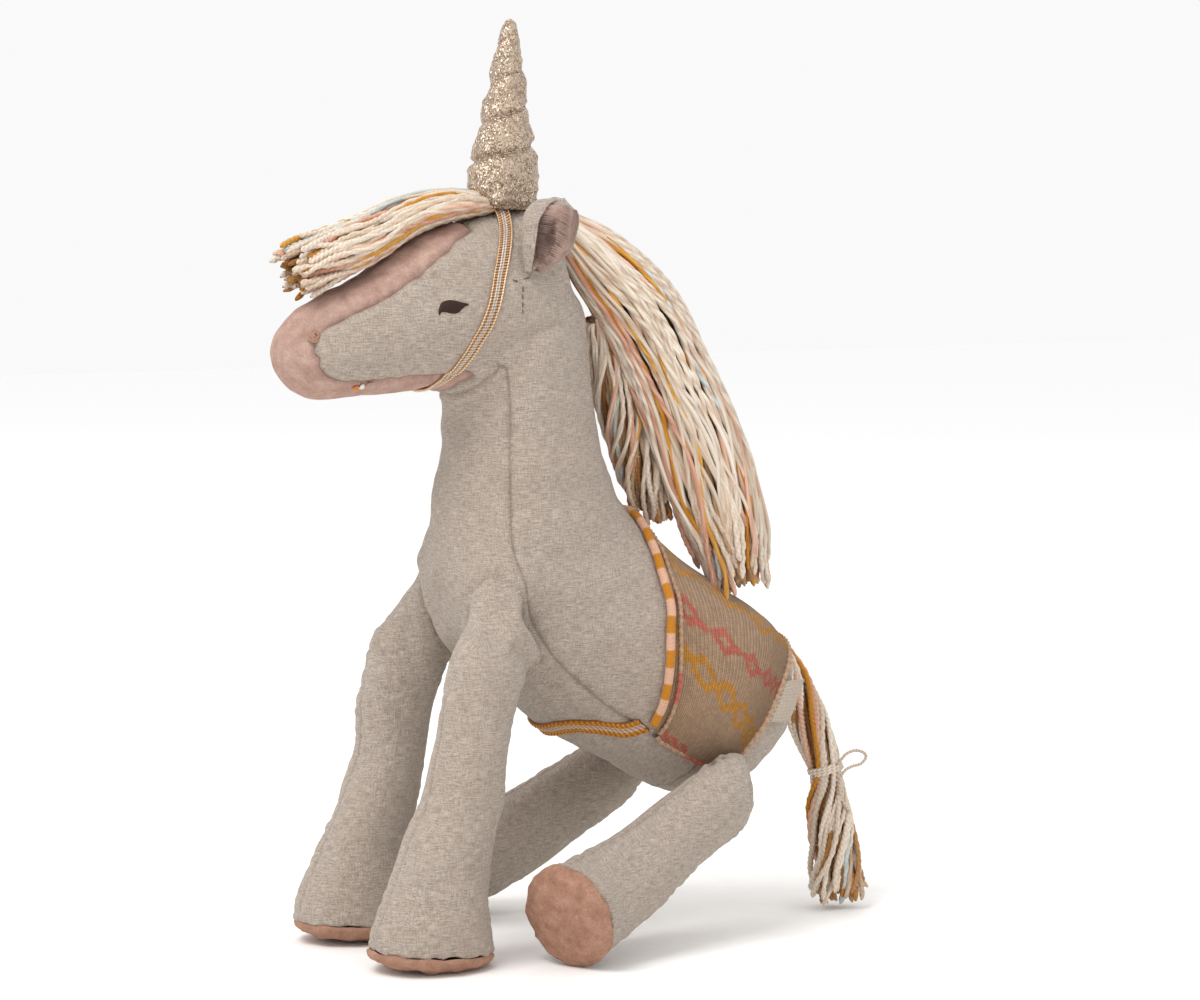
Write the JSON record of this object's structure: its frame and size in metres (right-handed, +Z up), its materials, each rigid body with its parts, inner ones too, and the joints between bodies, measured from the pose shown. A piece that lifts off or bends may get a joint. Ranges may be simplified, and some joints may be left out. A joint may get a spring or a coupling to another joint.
{
  "type": "plush unicorn",
  "caption": "Jointed sitting plush unicorn in linen and velour, with an elastic-held glitter horn, yarn mane, forelock and tail, and a knitted saddle blanket.",
  "frame": {"origin": "centre of the toy's outer box on the surface it stands on, without the loose end of the tail's tie", "axes": "+Z up, the toy faces -Y, its left side is +X"},
  "size_m": [0.1352, 0.2268, 0.3105],
  "materials": {
    "linen": "plain-weave linen, natural",
    "velour": "short-nap dusty pink velour",
    "filling": "polyester fibre filling",
    "thread": "sewing thread",
    "eye": "satin-stitched embroidery",
    "knot": "embroidered knot",
    "glitter": "pale gold glitter cloth",
    "lurex": "ribbed metallic elastic",
    "yarn": "twisted cotton yarn in mixed colours",
    "knit": "fine patterned knit",
    "piping": "striped cotton piping",
    "girth": "ribbed elastic with braided edges",
    "label": "plain woven tape"
  },
  "bodies": {
    "torso": {"body_stuffing": "filling", "face_blaze": "velour", "under_gusset": "linen", "side_panel_left": "linen", "side_panel_right": "linen", "eye_left": "eye", "eye_right": "eye", "nostril_left": "knot", "nostril_right": "knot", "mouth_knot_left": "knot", "mouth_knot_right": "knot", "shoulder_stitches_left": "thread", "shoulder_stitches_right": "thread", "hip_stitches_left": "thread", "hip_stitches_right": "thread"},
    "ear_left": {"ear_outer_left": "linen", "ear_lining_left": "velour"},
    "ear_right": {"ear_outer_right": "linen", "ear_lining_right": "velour"},
    "front_leg_left": {"front_leg_skin_left": "linen", "front_leg_stuffing_left": "filling", "front_leg_sole_left": "velour"},
    "front_leg_right": {"front_leg_skin_right": "linen", "front_leg_stuffing_right": "filling", "front_leg_sole_right": "velour"},
    "hind_leg_left": {"hind_leg_skin_left": "linen", "hind_leg_stuffing_left": "filling", "hind_leg_sole_left": "velour"},
    "hind_leg_right": {"hind_leg_skin_right": "linen", "hind_leg_stuffing_right": "filling", "hind_leg_sole_right": "velour"},
    "horn": {"horn_cover": "glitter", "horn_stuffing": "filling", "horn_base": "glitter", "horn_winding": "thread", "horn_elastic": "lurex"},
    "mane_upper": {"mane_upper": "yarn"},
    "mane_lower": {"mane_lower": "yarn"},
    "forelock": {"forelock": "yarn"},
    "tail": {"tail": "yarn", "tail_tie_band": "yarn", "tail_tie_end": "yarn"},
    "blanket": {"blanket_knit": "knit", "blanket_piping": "piping", "blanket_label": "label", "girth_elastic": "girth"}
  },
  "joints": [
    {"name": "front_leg_left_swing", "type": "hinge", "parent": "torso", "child": "front_leg_left", "pos_m": [0.031, -0.04075, 0.106], "axis": [1, 0, 0], "range_deg": [-80, 3]},
    {"name": "front_leg_right_swing", "type": "hinge", "parent": "torso", "child": "front_leg_right", "pos_m": [-0.031, -0.04075, 0.106], "axis": [1, 0, 0], "range_deg": [-80, 3]},
    {"name": "hind_leg_left_swing", "type": "hinge", "parent": "torso", "child": "hind_leg_left", "pos_m": [0.036, 0.04725, 0.051], "axis": [1, 0, 0], "range_deg": [-6, 110]},
    {"name": "hind_leg_right_swing", "type": "hinge", "parent": "torso", "child": "hind_leg_right", "pos_m": [-0.036, 0.04725, 0.051], "axis": [1, 0, 0], "range_deg": [-6, 110]},
    {"name": "ear_left_flop", "type": "hinge", "parent": "torso", "child": "ear_left", "pos_m": [0.0256, -0.02175, 0.229], "axis": [0.5002, 0.7935, -0.3465], "range_deg": [-6, 25], "stiffness_Nm_per_rad": 0.003},
    {"name": "ear_right_flop", "type": "hinge", "parent": "torso", "child": "ear_right", "pos_m": [-0.0256, -0.02175, 0.229], "axis": [0.5002, -0.7935, 0.3465], "range_deg": [-6, 25], "stiffness_Nm_per_rad": 0.003},
    {"name": "horn_pull", "type": "slide", "parent": "torso", "child": "horn", "axis": [0, 0.0523, 0.9986], "range_m": [0, 0.03], "stiffness_N_per_m": 40, "springref_m": -0.004, "deforming": ["horn_elastic"]},
    {"name": "mane_upper_swing", "type": "hinge", "parent": "torso", "child": "mane_upper", "pos_m": [0.001, -0.00275, 0.246], "axis": [1, 0, 0], "range_deg": [0, 40]},
    {"name": "mane_lower_swing", "type": "hinge", "parent": "torso", "child": "mane_lower", "pos_m": [0, 0.00925, 0.206], "axis": [1, 0, 0], "range_deg": [0, 10]},
    {"name": "forelock_lift", "type": "hinge", "parent": "torso", "child": "forelock", "pos_m": [-0.001, -0.04075, 0.25], "axis": [1, 0, 0], "range_deg": [-35, 0]},
    {"name": "tail_swing", "type": "hinge", "parent": "torso", "child": "tail", "pos_m": [0, 0.09025, 0.092], "axis": [1, 0, 0], "range_deg": [0, 50]},
    {"name": "blanket_slip", "type": "hinge", "parent": "torso", "child": "blanket", "pos_m": [0, 0.02925, 0.092], "axis": [0, 0.8403, -0.5422], "range_deg": [-4, 4]}
  ],
  "couplings": [
    {"joint": "mane_lower_swing", "follows": "mane_upper_swing", "ratio": 0.2}
  ]
}
